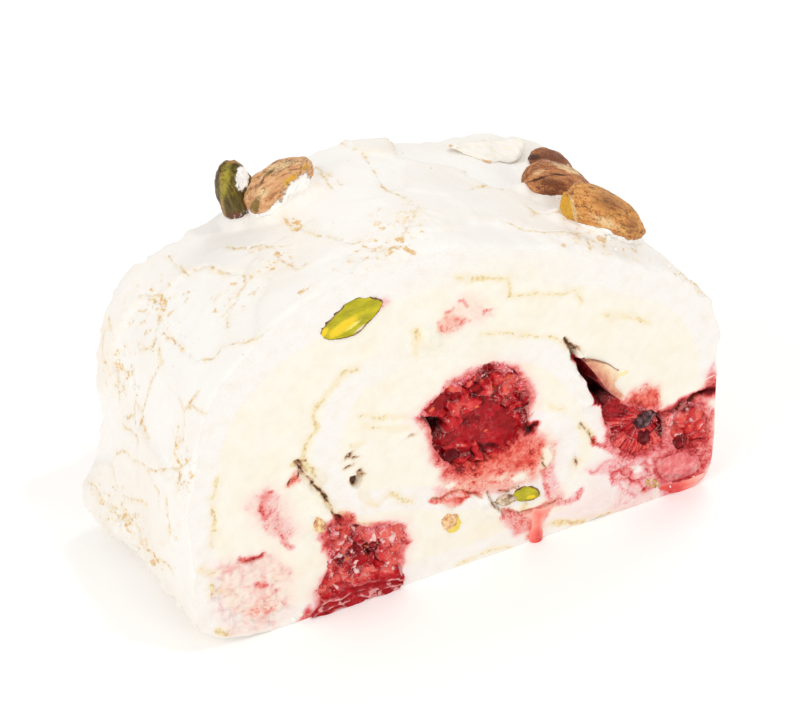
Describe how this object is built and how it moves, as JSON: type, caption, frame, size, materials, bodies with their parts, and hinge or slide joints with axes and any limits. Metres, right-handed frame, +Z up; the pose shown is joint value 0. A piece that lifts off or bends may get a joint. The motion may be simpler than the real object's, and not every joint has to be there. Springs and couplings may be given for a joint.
{
  "type": "meringue roll slice",
  "caption": "Thick cut slice of rolled meringue with a cracked white crust, cream filling, cut raspberries in the cut faces and pistachio kernels on top; stands on its flat underside.",
  "frame": {"origin": "middle of the slice's footprint box, on the plane it stands on", "axes": "+X across the front cut face to its right, +Y from the front cut to the back cut, +Z up"},
  "size_m": [0.0998, 0.0416, 0.0668],
  "materials": {
    "meringue": "dry baked meringue, white with thin tan cracks",
    "cream": "soft pale yellow cream cut with a knife",
    "raspberry": "wet dark red fruit flesh",
    "pistachio_tan": "wrinkled brown kernel skin",
    "pistachio_green": "yellow-green kernel flesh and skin"
  },
  "bodies": {
    "root": {"cream_filling": "cream", "meringue_sheet": "meringue", "pistachio_cut_edge": "pistachio_green", "pistachio_cut_low": "pistachio_green", "pistachio_top_left_green": "pistachio_green", "pistachio_top_left_tan": "pistachio_tan", "pistachio_top_right_front": "pistachio_tan", "pistachio_top_right_middle": "pistachio_tan", "pistachio_top_right_rear": "pistachio_tan", "raspberry_back_centre": "raspberry", "raspberry_back_left": "raspberry", "raspberry_back_lower": "raspberry", "raspberry_back_right": "raspberry", "raspberry_centre": "raspberry", "raspberry_lower_left": "raspberry", "raspberry_right_inner": "raspberry", "raspberry_right_lower": "raspberry", "raspberry_right_outer": "raspberry"}
  },
  "joints": []
}
